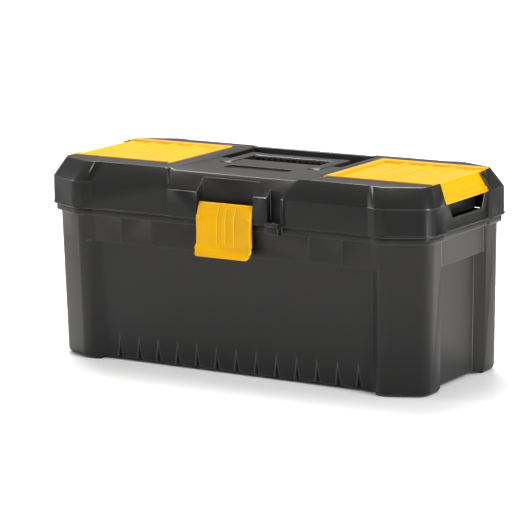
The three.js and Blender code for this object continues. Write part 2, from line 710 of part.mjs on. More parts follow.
// ---------- organiser lids ----------
// The +X lid: a plate with a raised frame and ribs, a sloped lip, a hinge barrel and two pegs.
function organiserLid() {
  const { top, low, run, points } = organiserProfile(0);
  const z = TOP + ORG_PROUD;
  let lid = prismY(points, BAY_Y0, BAY_Y1);
  lid = lid.add(rodY(ORG_BARREL_R, BARREL_X, BAY_Y0, BAY_Y1, BARREL_Z));
  lid = lid.add(rodY(ORG_PEG_R, BARREL_X, BAY_Y0 - ORG_PEG, BAY_Y1 + ORG_PEG, BARREL_Z, FINE_ROUND));
  const across = [-run.y, run.x];
  const floorZ = z - ORG_SINK;
  const x0 = BAY_INNER + ORG_FRAME;
  const x1 = top[0] - ORG_FRAME / 2;
  const y0 = BAY_Y0 + ORG_FRONT_FRAME;
  const y1 = BAY_Y1 - ORG_FRAME;
  const over = 3;
  const slant = ORG_SINK / 2;
  lid = lid.subtract(hull([
    [x0 + slant, y0, floorZ], [x1 - slant, y0, floorZ],
    [x0 + slant, y1 - slant, floorZ], [x1 - slant, y1 - slant, floorZ],
    [x0, y0, z], [x1, y0, z], [x0, y1, z], [x1, y1, z],
    [x0, y0, z + over], [x1, y0, z + over], [x0, y1, z + over], [x1, y1, z + over],
  ]));
  const lipEnd = [low[0] - run.x * ORG_FRAME * 0.6, low[1] - run.y * ORG_FRAME * 0.6];
  const lipStart = [x1 - 1, z - ORG_LIP_SINK];
  lid = lid.subtract(prismY([
    lipStart,
    [top[0] - across[0] * ORG_LIP_SINK, z - ORG_LIP_SINK],
    [lipEnd[0] - across[0] * ORG_LIP_SINK, lipEnd[1] - across[1] * ORG_LIP_SINK],
    [lipEnd[0] + across[0] * over, lipEnd[1] + across[1] * over],
    [top[0] + over, z + over],
    [lipStart[0], z + over],
  ], BAY_Y0 + ORG_FRAME, BAY_Y1 - ORG_FRAME));
  const foot = ORG_RIB_W / 2;
  const crown = ORG_RIB_TOP_W / 2;
  for (let i = 1; i <= ORG_RIB_COUNT; i += 1) {
    const x = x0 + ((x1 - x0) * i) / (ORG_RIB_COUNT + 1);
    lid = lid.add(hull([
      [x - foot, y0, floorZ - 0.5], [x + foot, y0, floorZ - 0.5],
      [x - foot, y1, floorZ - 0.5], [x + foot, y1, floorZ - 0.5],
      [x - foot, y0, floorZ], [x + foot, y0, floorZ],
      [x - foot, y1 - foot, floorZ], [x + foot, y1 - foot, floorZ],
      [x - crown, y0, floorZ + 0.9], [x + crown, y0, floorZ + 0.9],
      [x - crown, y1 - foot, z - 0.2], [x + crown, y1 - foot, z - 0.2],
    ]));
  }
  return lid;
}

// ---------- carry handle ----------
function carryHandle() {
  const { y, z } = handlePivot();
  const topZ = z + HANDLE_ARM_R;
  const gripRear = y + HANDLE_REACH;
  const gripFront = gripRear - HANDLE_GRIP_Y;
  const armEnd = arc(y, z, HANDLE_ARM_R, Math.PI / 2, (Math.PI * 3) / 2, 8);
  const armProfile = [...armEnd, [gripRear - 6, z - HANDLE_ARM_R], [gripRear, z], [gripRear, topZ]];
  const gripProfile = [
    [gripFront + 1.5, topZ], [gripFront, topZ - 1.5], [gripFront, topZ - HANDLE_GRIP_Z + 3],
    [gripFront + 3, topZ - HANDLE_GRIP_Z], [gripRear - 3, topZ - HANDLE_GRIP_Z],
    [gripRear, topZ - HANDLE_GRIP_Z + 3], [gripRear, topZ - 1.5], [gripRear - 1.5, topZ],
  ];
  let handle = prismX(gripProfile, -HANDLE_HALF, HANDLE_HALF);
  for (const side of [-1, 1]) {
    const [x0, x1] = side > 0
      ? [HANDLE_HALF - HANDLE_ARM_W, HANDLE_HALF]
      : [-HANDLE_HALF, HANDLE_ARM_W - HANDLE_HALF];
    handle = handle.add(prismX(armProfile, x0, x1));
    handle = handle.subtract(rodX(HANDLE_PIN_R + GAP, x0 - 1, x1 + 1, y, z, FINE_ROUND));
  }
  const clear = 2 * (HANDLE_HALF - HANDLE_ARM_W) - 10;
  const pitch = clear / GRIP_RIBS;
  for (let i = 0; i < GRIP_RIBS; i += 1) {
    const x = -clear / 2 + pitch * (i + 0.5);
    const z0 = topZ - HANDLE_GRIP_Z - 1;
    const slotY = gripFront + GRIP_RIB_DEPTH;
    handle = handle.subtract(box(x - pitch * 0.22, x + pitch * 0.22, gripFront - 1, slotY, z0, topZ - 2.4));
  }
  return handle;
}

function handlePin() {
  const half = (HANDLE_ARM_W + 2 * PLAY + 2 * BAY_WALL - 1) / 2;
  const geometry = new THREE.CylinderGeometry(HANDLE_PIN_R, HANDLE_PIN_R, 2 * half, ROUND);
  geometry.rotateZ(-Math.PI / 2);
  return geometry;
}

// ---------- front latch ----------
function frontLatch() {
  const wall = -HALF_D;
  const pivotY = wall + LATCH_PIVOT_IN;
  const pivotZ = LID_RIM + LATCH_PIVOT_UP;
  const face = wall - LATCH_FRONT;
  const topZ = LID_RIM + LATCH_TOP_UP;
  const bendZ = LID_RIM + LATCH_BEND_UP;
  const lowZ = LID_RIM - LATCH_LOW_BEND;
  const lipZ = LID_RIM - LATCH_LIP;
  const lipY = wall - LATCH_LIP_FRONT;
  const outer = [[wall + 1, topZ], [face + 0.6, bendZ], [face, lowZ], [lipY, lipZ]];
  const inner = [
    [lipY + LATCH_T, lipZ], [face + LATCH_T, lowZ - 1], [face + LATCH_T + 0.2, bendZ - 1],
    [pivotY - 1, pivotZ - LATCH_BARREL_R + 0.6], [pivotY, topZ - 1],
  ];
  const half = LATCH_HALF;
  let latch = prismX([...outer, ...inner], -half, half);
  latch = latch.add(rodX(LATCH_BARREL_R, -half, half, pivotY, pivotZ));
  const flange = [
    [face + 0.3, bendZ + 2], [face + 0.3, lowZ],
    [face + LATCH_SIDE, lowZ + 1], [face + LATCH_SIDE, bendZ + 2],
  ];
  for (const side of [-1, 1]) {
    const [x0, x1] = side > 0 ? [half - LATCH_T, half] : [-half, LATCH_T - half];
    latch = latch.add(prismX(flange, x0, x1));
    latch = latch.add(hull([
      [side * (half - 0.5), face + LATCH_T, lowZ + 3], [side * (half - 0.5), face, lowZ + 3],
      [side * (half - 0.5), face - 2, lipZ + 4], [side * (half - 0.5), face + LATCH_T - 2, lipZ + 4],
      [side * (half + LATCH_FLARE), face - 0.9, lipZ + 6.5],
      [side * (half + LATCH_FLARE), face - 0.2, lipZ + 7.5],
    ]));
    latch = latch.subtract(hull([
      [side * (half - 2.5), lipY - 3, lipZ - 0.5], [side * (half - 2.5), lipY + 6, lipZ - 0.5],
      [side * (half + 6), lipY - 3, lipZ + 8], [side * (half + 6), lipY + 6, lipZ + 8],
      [side * (half + 6), lipY - 3, lipZ - 0.5], [side * (half + 6), lipY + 6, lipZ - 0.5],
    ]));
  }
  for (const x of LATCH_GROOVES) {
    latch = latch.subtract(prismX([
      [wall - 1.6, topZ - 4], [face + 0.6 - 3, bendZ], [face - 3, lowZ + 1],
      [face + 0.5, lowZ + 1], [face + 1.1, bendZ], [wall + 0.4, topZ - 4],
    ], x - 0.5, x + 0.5));
  }
  latch = latch.subtract(rodX(LATCH_PIN_R + GAP, -half - 1, half + 1, pivotY, pivotZ, FINE_ROUND));
  return latch;
}

function latchPin() {
  const half = LATCH_RECESS_HALF + WALL - 0.6;
  const geometry = new THREE.CylinderGeometry(LATCH_PIN_R, LATCH_PIN_R, 2 * half, ROUND);
  geometry.rotateZ(-Math.PI / 2);
  return geometry;
}

// ---------- rear hinge pins ----------
function hingePin() {
  const half = HINGE_LID_KNUCKLE / 2 + GAP + HINGE_BASE_KNUCKLE - 1;
  const geometry = new THREE.CylinderGeometry(HINGE_PIN_R, HINGE_PIN_R, 2 * half, FINE_ROUND);
  geometry.rotateZ(-Math.PI / 2);
  return geometry;
}

// ---------- lift-out tray ----------
function innerTray() {
  const lowX = BASE_END_X - END_PANEL_SINK - WALL - DRAFT_X - PLAY;
  const lowY = BASE_POST_Y - PANEL_SINK - WALL - DRAFT_Y - PLAY;
  const highX = BASE_END_X - BAND_SINK - WALL - PLAY - 1;
  const highY = BASE_POST_Y - BAND_SINK - WALL - PLAY - 1;
  const ledge = LEDGE_Z + GAP;
  const top = ledge + TRAY_RISE;
  const floorZ = ledge - TRAY_DROP;
  const t = TRAY_WALL;
  const lowPlan = (inset) => roundedRectangle(lowX - inset, lowY - inset, TRAY_LOW_CORNER_R - inset);
  const highPlan = (inset) => roundedRectangle(highX - inset, highY - inset, TRAY_CORNER_R - inset);
  const outside = straight(lowPlan(0), floorZ, ledge + t).add(straight(highPlan(0), ledge, top));
  let tray = cutAll(outside, [
    straight(lowPlan(t), floorZ + t, ledge + t + 1),
    straight(highPlan(t), ledge + t, top + 1),
  ]);
  const across = [-lowY + 1, lowY - 1];
  for (let i = 1; i < TRAY_COLUMNS; i += 1) {
    const x = lowX * ((2 * i) / TRAY_COLUMNS - 1);
    tray = tray.add(box(x - t / 2, x + t / 2, across[0], across[1], floorZ + 1, ledge + t));
  }
  tray = tray.add(box(-lowX + 1, lowX - 1, -t / 2, t / 2, floorZ + 1, ledge + t));
  const h = TRAY_HANDLE_HALF;
  const gripZ = TOP - WELL_DEPTH - BAY_WALL - TRAY_HEADROOM;
  const half = TRAY_HANDLE_T / 2;
  let grip = prismY([
    [-h - 14, ledge], [h + 14, ledge], [h, gripZ - 4], [h - 5, gripZ], [5 - h, gripZ], [-h, gripZ - 4],
  ], -half, half);
  const hole = 12;
  grip = grip.subtract(prismY([
    [-h + hole, gripZ - 34], [h - hole, gripZ - 34], [h - hole, gripZ - 11], [-h + hole, gripZ - 11],
  ], -half - 1, half + 1));
  return tray.add(grip);
}

// ---------- assembly ----------
const SHELL_GREY = { color: 0x3a3938, roughness: 0.55, metalness: 0 };
const BLACK = { color: 0x232323, roughness: 0.5, metalness: 0 };
const YELLOW = { color: 0xffc91f, roughness: 0.4, metalness: 0 };
const STEEL = { color: 0xb8babc, roughness: 0.35, metalness: 1 };

function piece(name, geometry, look, place = [0, 0, 0]) {
  const mesh = new THREE.Mesh(geometry, new THREE.MeshStandardMaterial(look));
  mesh.name = name;
  mesh.position.set(...place);
  return mesh;
}

const toolbox = new THREE.Group();
toolbox.add(piece('base_shell', geometryOf(baseShell()), SHELL_GREY));
toolbox.add(piece('inner_tray', geometryOf(innerTray()), BLACK));
toolbox.add(piece('lid_shell', geometryOf(lidShell()), SHELL_GREY));
toolbox.add(piece('organiser_lid_right', geometryOf(organiserLid()), YELLOW));
toolbox.add(piece('organiser_lid_left', geometryOf(mirroredX(organiserLid())), YELLOW));
toolbox.add(piece('carry_handle', geometryOf(carryHandle()), BLACK));
toolbox.add(piece('front_latch', geometryOf(frontLatch()), YELLOW));

const latchPlace = [0, -HALF_D + LATCH_PIVOT_IN, LID_RIM + LATCH_PIVOT_UP];
toolbox.add(piece('latch_pin', latchPin(), STEEL, latchPlace));
for (const [side, word] of [[-1, 'left'], [1, 'right']]) {
  const pivot = handlePivot();
  const armMiddle = side * (HANDLE_HALF - HANDLE_ARM_W / 2);
  toolbox.add(piece(`handle_pin_${word}`, handlePin(), STEEL, [armMiddle, pivot.y, pivot.z]));
  toolbox.add(piece(`hinge_pin_${word}`, hingePin(), STEEL, [side * HINGE_X, HINGE_Y, LID_RIM]));
}

export default toolbox;
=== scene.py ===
"""Looks of a moulded toolbox with a lift-out tray: shells, organiser lids, latch, handle, tray and pins."""
import logging
import math
from dataclasses import dataclass
from enum import Enum
from typing import Callable, Optional

import bmesh
import bpy
from mathutils import Matrix, Vector
from mathutils.bvhtree import BVHTree
from mathutils.kdtree import KDTree


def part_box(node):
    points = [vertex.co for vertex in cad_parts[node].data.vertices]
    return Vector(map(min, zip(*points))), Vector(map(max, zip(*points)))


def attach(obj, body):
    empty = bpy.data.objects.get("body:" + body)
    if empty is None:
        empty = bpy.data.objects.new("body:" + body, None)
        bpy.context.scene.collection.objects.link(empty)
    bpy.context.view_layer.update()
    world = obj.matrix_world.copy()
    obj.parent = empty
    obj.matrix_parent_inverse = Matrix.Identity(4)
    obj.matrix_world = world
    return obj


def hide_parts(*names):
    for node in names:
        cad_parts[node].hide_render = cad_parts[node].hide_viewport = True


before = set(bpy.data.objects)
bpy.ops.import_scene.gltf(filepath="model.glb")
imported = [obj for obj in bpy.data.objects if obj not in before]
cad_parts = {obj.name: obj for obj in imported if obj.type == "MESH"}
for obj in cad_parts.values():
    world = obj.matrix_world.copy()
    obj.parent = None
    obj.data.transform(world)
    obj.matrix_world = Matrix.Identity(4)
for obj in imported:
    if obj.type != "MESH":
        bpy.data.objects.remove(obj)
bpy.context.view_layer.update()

MM = 0.001
SAME_PLACE = 1e-6  # metres within which two points are one
SAME_HEIGHT = 1e-5  # metres within which two heights are one
UPRIGHT = 0.05  # upward share of the normal of a face that still counts as upright
LOG = logging.getLogger("toolbox")

Colour = tuple[float, float, float, float]
Inputs = dict[object, object]
Shaping = Callable[[bmesh.types.BMesh], None]


class Side(Enum):
    """The side of the box that a piece of a pair is on."""

    LEFT = -1
    RIGHT = 1


def linear(code: str) -> Colour:
    """Turns an sRGB hex colour to linear.

    Args:
        code: The colour as six hex digits.

    Returns:
        Linear red, green and blue, and an alpha of 1.
    """
    channels = [int(code[i:i + 2], 16) / 255 for i in (0, 2, 4)]
    red, green, blue = [c / 12.92 if c <= 0.04045 else ((c + 0.055) / 1.055) ** 2.4 for c in channels]
    return red, green, blue, 1.0


def add_node(
        tree: bpy.types.NodeTree, kind: str, inputs: Optional[Inputs] = None,
        **settings: object) -> bpy.types.Node:
    """Adds a shader node, sets it up and links it.

    Args:
        tree: The node tree that takes the node.
        kind: The node's type name.
        inputs: Value or source socket for each input, by name or place.
        **settings: Attributes of the node itself.

    Returns:
        The new node.
    """
    node = tree.nodes.new(kind)
    for name, value in settings.items():
        setattr(node, name, value)
    for name, value in (inputs or {}).items():
        if isinstance(value, bpy.types.NodeSocket):
            tree.links.new(value, node.inputs[name])
        else:
            node.inputs[name].default_value = value
    return node


def blank_material(name: str) -> tuple[bpy.types.Material, bpy.types.NodeTree, bpy.types.NodeSocket]:
    """Starts a node material.

    Args:
        name: What the material is.

    Returns:
        The material, its empty tree and the Object coordinates.
    """
    material = bpy.data.materials.new(name)
    material.use_nodes = True
    tree = material.node_tree
    tree.nodes.clear()
    return material, tree, add_node(tree, "ShaderNodeTexCoord").outputs["Object"]


@dataclass(frozen=True)
class MouldedPlastic:
    """Injection-moulded polypropylene.

    The mould's spark-eroded face leaves a fine even grain, which gives a broad soft sheen. Flow in the mould
    leaves faint broad changes of tone, and handling leaves short paler rubs that are a little smoother.
    """

    name: str
    colour: str
    flow_colour: str
    rub_colour: str
    roughness: float
    rub_roughness: float
    grain_mm: float
    grain_height_mm: float
    rub_share: float = 0.5
    specular: float = 0.3
    flow_mm: float = 45.0
    rub_mm: float = 5.0

    def material(self) -> bpy.types.Material:
        """Makes the plastic's material.

        Returns:
            The material, on Object coordinates.
        """
        material, tree, place = blank_material(self.name)
        flow = add_node(tree, "ShaderNodeTexNoise", {
            "Vector": place, "Scale": 1 / (self.flow_mm * MM), "Detail": 3.0, "Roughness": 0.55})
        toned = add_node(tree, "ShaderNodeMix", {
            "Factor": flow.outputs["Fac"], "A": linear(self.colour), "B": linear(self.flow_colour)},
            data_type="RGBA")
        stretched = add_node(tree, "ShaderNodeMapping", {"Vector": place, "Scale": (0.25, 1.0, 1.0)})
        rubs = add_node(tree, "ShaderNodeTexNoise", {
            "Vector": stretched.outputs["Vector"], "Scale": 1 / (self.rub_mm * MM),
            "Detail": 6.0, "Roughness": 0.7})
        rubbed = add_node(tree, "ShaderNodeMapRange", {
            "Value": rubs.outputs["Fac"], "From Min": 0.6, "From Max": 0.8,
            "To Min": 0.0, "To Max": self.rub_share})
        tinted = add_node(tree, "ShaderNodeMix", {
            "Factor": rubbed.outputs["Result"], "A": toned.outputs["Result"], "B": linear(self.rub_colour)},
            data_type="RGBA")
        sheen = add_node(tree, "ShaderNodeMapRange", {
            "Value": rubbed.outputs["Result"], "To Min": self.roughness, "To Max": self.rub_roughness})
        grain = add_node(tree, "ShaderNodeTexNoise", {
            "Vector": place, "Scale": 1 / (self.grain_mm * MM), "Detail": 2.0, "Roughness": 0.6})
        relief = add_node(tree, "ShaderNodeBump", {
            "Height": grain.outputs["Fac"], "Strength": 1.0, "Distance": self.grain_height_mm * MM})
        shader = add_node(tree, "ShaderNodeBsdfPrincipled", {
            "Base Color": tinted.outputs["Result"], "Roughness": sheen.outputs["Result"],
            "Normal": relief.outputs["Normal"], "IOR": 1.49, "Specular IOR Level": self.specular})
        add_node(tree, "ShaderNodeOutputMaterial", {"Surface": shader.outputs["BSDF"]})
        return material


@dataclass(frozen=True)
class DrawnSteel:
    """Zinc-plated drawn steel wire, with fine rings of tool marks across the bar and a cool soft gloss."""

    name: str
    colour: str
    dull_colour: str
    roughness: float
    mark_mm: float = 1.2

    def material(self) -> bpy.types.Material:
        """Makes the wire's material.

        Returns:
            The material, on Object coordinates.
        """
        material, tree, place = blank_material(self.name)
        along = add_node(tree, "ShaderNodeMapping", {"Vector": place, "Scale": (1.0, 0.15, 0.15)})
        marks = add_node(tree, "ShaderNodeTexNoise", {
            "Vector": along.outputs["Vector"], "Scale": 1 / (self.mark_mm * MM), "Detail": 4.0})
        toned = add_node(tree, "ShaderNodeMix", {
            "Factor": marks.outputs["Fac"], "A": linear(self.colour), "B": linear(self.dull_colour)},
            data_type="RGBA")
        gloss = add_node(tree, "ShaderNodeMapRange", {
            "Value": marks.outputs["Fac"], "To Min": self.roughness, "To Max": self.roughness + 0.2})
        relief = add_node(tree, "ShaderNodeBump", {
            "Height": marks.outputs["Fac"], "Strength": 0.6, "Distance": 0.02 * MM})
        shader = add_node(tree, "ShaderNodeBsdfPrincipled", {
            "Base Color": toned.outputs["Result"], "Roughness": gloss.outputs["Result"],
            "Normal": relief.outputs["Normal"], "Metallic": 1.0})
        add_node(tree, "ShaderNodeOutputMaterial", {"Surface": shader.outputs["BSDF"]})
        return material


# The grain of such moulds is 0.2 to 0.4 mm wide. It is drawn about three times as coarse, so that it shows.
CHARCOAL = MouldedPlastic(
    "spark-grained charcoal polypropylene", "121111", "161514", "292725", 0.40, 0.32, 1.1, 0.05)
# Lighter copy of the charcoal for the rounded edges: its paler colour is a painted highlight, and its lower
# roughness and stronger specular are a handling polish.
CHARCOAL_EDGE_HIGHLIGHT = MouldedPlastic(
    "charcoal polypropylene, edge polished by handling", "2b2928", "302d2c", "45413e", 0.27, 0.24, 1.6, 0.012,
    specular=0.6)
HANDLE_GREY = MouldedPlastic(
    "brown-black polypropylene of the handle", "1c1816", "211c1a", "332d2a", 0.38, 0.32, 1.1, 0.04)
TRAY_BLACK = MouldedPlastic(
    "black polypropylene of the tray", "0f0f10", "141415", "242425", 0.42, 0.36, 1.2, 0.03)
SIGNAL_YELLOW = MouldedPlastic(
    "satin yellow polypropylene", "d9a102", "d39b00", "e5b422", 0.40, 0.34, 0.9, 0.012, rub_share=0.3,
    specular=0.16)
# Lighter copy of the yellow for the rounded edges: its paler colour is a painted highlight.
YELLOW_EDGE_HIGHLIGHT = MouldedPlastic(
    "satin yellow polypropylene, moulded edge", "efbd18", "eab50e", "f8d04c", 0.27, 0.24, 1.6, 0.006,
    specular=0.5)
ZINC_WIRE = DrawnSteel("zinc-plated drawn steel wire", "c4c6c9", "a3a6aa", 0.28)


def new_piece(name: str, bm: bmesh.types.BMesh, body: str, slot: str, *nodes: str) -> bpy.types.Object:
    """Makes a shown piece of a finished bmesh and ties it to the frame.

    Args:
        name: Name of the piece.
        bm: Its shape, in metres in the frame; it is freed.
        body: CAD body that it rides on.
        slot: Material slot of the record; not used.
        *nodes: CAD nodes that it stands for.

    Returns:
        The piece.
    """
    mesh = bpy.data.meshes.new(name)
    bm.to_mesh(mesh)
    bm.free()
    mesh.polygons.foreach_set("use_smooth", [True] * len(mesh.polygons))
    piece = bpy.data.objects.new(name, mesh)
    bpy.context.scene.collection.objects.link(piece)
    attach(piece, body)
    if nodes:
        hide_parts(*nodes)
    LOG.info("%s: %d faces, rides on %s", name, len(mesh.polygons), body)
    return piece


@dataclass
class MouldedPart:
    """A moulded piece that takes its form from a CAD node and gets the small radii of a real moulding.

    Attributes:
        node: The CAD node.
        body: The body that it rides on.
        slot: Its material slot.
        finish: The plastic of its faces.
        edge_highlight_finish: The plastic of its rounded edges; the shells and the yellow pieces take a
            lighter copy of their plastic there, a painted highlight.
        edge_mm: Size of the full radius.
        edge_segments: Steps across a radius.
        sharp_deg: Turn between two faces above which their edge is always rounded.
        slight_deg: The same between two broad faces.
        broad_mm: Breadth from which a face is broad, and not a facet of a curve.
        flat_deg: Turn up to which an edge lies inside one flat face.
        weld_mm: Distance within which corners are joined.
        speck_mm: Size under which a face or edge is dropped.
        merge_deg: Turn under which neighbouring faces become one.
        most_sides: Sides above which a face is cut into triangles.
        share_of_room: Share of the room around an edge that its radius may take.
        least_weight: Share of the full radius under which an edge stays sharp.
        stray_share: Share of the radius that a rounded point may lie off the surface.
        calm_rounds: Most times that strays are looked for.
        shaping: Detail that only this piece gets.
    """

    node: str
    body: str
    slot: str
    finish: MouldedPlastic
    edge_highlight_finish: MouldedPlastic
    edge_mm: float = 0.6
    edge_segments: int = 2
    sharp_deg: float = 24.0
    slight_deg: float = 5.0
    broad_mm: float = 3.6
    flat_deg: float = 0.7
    weld_mm: float = 0.15
    speck_mm: float = 0.01
    merge_deg: float = 0.6
    most_sides: int = 5
    share_of_room: float = 0.42
    least_weight: float = 0.15
    stray_share: float = 0.6
    calm_rounds: int = 5
    shaping: Optional[Shaping] = None

    def shape(self) -> bmesh.types.BMesh:
        """Merges a copy of the CAD mesh into clean faces.

        Returns:
            The cleaned copy, with this piece's own detail.
        """
        bm = bmesh.new()
        bm.from_mesh(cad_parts[self.node].data)
        bmesh.ops.remove_doubles(bm, verts=bm.verts, dist=self.weld_mm * MM)
        bmesh.ops.dissolve_degenerate(bm, dist=self.speck_mm * MM, edges=bm.edges)
        bmesh.ops.dissolve_limit(
            bm, angle_limit=math.radians(self.merge_deg), use_dissolve_boundaries=False,
            verts=bm.verts, edges=bm.edges)
        if self.shaping:
            self.shaping(bm)
        many_sided = [face for face in bm.faces if len(face.verts) > self.most_sides]
        bmesh.ops.triangulate(bm, faces=many_sided, quad_method="BEAUTY", ngon_method="BEAUTY")
        bmesh.ops.recalc_face_normals(bm, faces=bm.faces)
        self.weigh_edges(bm)
        return bm

    def weigh_edges(self, bm: bmesh.types.BMesh) -> None:
        """Gives each sharp edge as much of the full radius as the edges around it leave room for.

        Args:
            bm: The cleaned mesh.
        """
        bm.normal_update()
        weights = bm.edges.layers.float.new("bevel_weight_edge")
        sharp = {e for e in bm.edges if e.is_manifold and self.is_crisp(e)}
        for edge in sharp:
            rooms = [
                self.room(edge, vert, near, near in sharp) for vert in edge.verts for near in vert.link_edges
                if near is not edge and near.calc_face_angle(math.pi) > math.radians(self.flat_deg)]
            weight = min(1.0, min(rooms, default=0.0) * self.share_of_room / (self.edge_mm * MM))
            edge.smooth = weight > self.least_weight
            edge[weights] = weight if edge.smooth else 0.0

    def is_crisp(self, edge: bmesh.types.BMEdge) -> bool:
        """Tells a moulded edge from a step between two facets of one curve.

        Args:
            edge: An edge between two faces.

        Returns:
            True for a sharp edge, and for a slight one between two broad flat faces.
        """
        angle = edge.calc_face_angle(0.0)
        if angle > math.radians(self.sharp_deg):
            return True
        breadths = [
            face.calc_area() / max(side.calc_length() for side in face.edges) for face in edge.link_faces]
        return angle > math.radians(self.slight_deg) and min(breadths) > self.broad_mm * MM

    @staticmethod
    def room(
            edge: bmesh.types.BMEdge, vert: bmesh.types.BMVert, near: bmesh.types.BMEdge,
            both_sharp: bool) -> float:
        """Finds the widest radius that an edge next to a rounded one leaves room for.

        Args:
            edge: The edge that gets the radius.
            vert: The end that the two edges share.
            near: The edge next to it.
            both_sharp: Whether the edge next to it is rounded too.

        Returns:
            The room in metres, measured across the rounded edge.
        """
        along = edge.other_vert(vert).co - vert.co
        aside = near.other_vert(vert).co - vert.co
        angle = along.angle(aside, math.pi / 2)
        if both_sharp:
            return aside.length * min(1.0, math.tan(angle / 2))
        return aside.length * math.sin(angle)

    def build(self) -> bpy.types.Object:
        """Builds, rounds and dresses the piece.

        Returns:
            The finished piece.
        """
        piece = new_piece(f"{self.node}_moulded", self.shape(), self.body, self.slot, self.node)
        piece.data.materials.append(self.finish.material())
        # The second plastic goes on the rounded edges; where it is lighter it paints a highlight along them.
        piece.data.materials.append(self.edge_highlight_finish.material())
        radius = piece.modifiers.new("moulded radii", "BEVEL")
        radius.limit_method = "WEIGHT"
        radius.width = self.edge_mm * MM
        radius.segments = self.edge_segments
        radius.use_clamp_overlap = False
        radius.loop_slide = False
        radius.harden_normals = True
        # The rounded edges take the second plastic, a painted highlight where it is lighter.
        radius.material = 1
        self.calm_edges(piece)
        return piece

    def calm_edges(self, piece: bpy.types.Object) -> None:
        """Takes the radius off the edges that would throw a point far off the surface.

        Args:
            piece: The piece, with its radius modifier.
        """
        mesh = piece.data
        surface = BVHTree.FromPolygons([v.co for v in mesh.vertices], [p.vertices[:] for p in mesh.polygons])
        corners = KDTree(len(mesh.vertices))
        for vert in mesh.vertices:
            corners.insert(vert.co, vert.index)
        corners.balance()
        reach = self.edge_mm * MM * self.stray_share
        for turn in range(self.calm_rounds):
            rounded = piece.evaluated_get(bpy.context.evaluated_depsgraph_get()).to_mesh()
            strays = {v.index for v in rounded.vertices if surface.find_nearest(v.co)[3] > reach}
            LOG.info("%s: round %d has %d stray points", piece.name, turn, len(strays))
            if not strays:
                return
            ends = {i for e in rounded.edges if not strays.isdisjoint(e.vertices) for i in e.vertices}
            roots = {corners.find(rounded.vertices[i].co)[1] for i in ends - strays}
            weights = mesh.attributes["bevel_weight_edge"].data
            dropped = [
                edge.index for edge in mesh.edges
                if weights[edge.index].value and not roots.isdisjoint(edge.vertices)]
            for index in dropped:
                weights[index].value = 0.0
            for index in dropped:
                mesh.edges[index].use_edge_sharp = True
            mesh.update()


@dataclass
class Pin:
    """A plain wire pin with rounded ends, turned along X."""

    node: str
    body: str
    finish: DrawnSteel
    sides: int = 32
    chamfer_mm: float = 0.35
    chamfer_segments: int = 3

    def build(self) -> bpy.types.Object:
        """Builds the pin in the place of its CAD node.

        Returns:
            The finished pin.
        """
        low, high = (Vector(corner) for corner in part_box(self.node))
        middle = (low + high) / 2
        radius = (high.z - low.z) / 2
        bm = bmesh.new()
        turn = Matrix.Translation(middle) @ Matrix.Rotation(math.radians(90), 4, "Y")
        bmesh.ops.create_cone(
            bm, cap_ends=True, segments=self.sides, radius1=radius, radius2=radius,
            depth=high.x - low.x, matrix=turn)
        rims = [e for e in bm.edges if abs(e.verts[0].co.x - e.verts[1].co.x) < SAME_PLACE]
        bmesh.ops.bevel(
            bm, geom=rims, offset=self.chamfer_mm * MM, offset_type="OFFSET", segments=self.chamfer_segments,
            profile=0.5, affect="EDGES", material=-1, clamp_overlap=True)
        piece = new_piece(f"{self.node}_wire", bm, self.body, "steel", self.node)
        piece.data.materials.append(self.finish.material())
        return piece


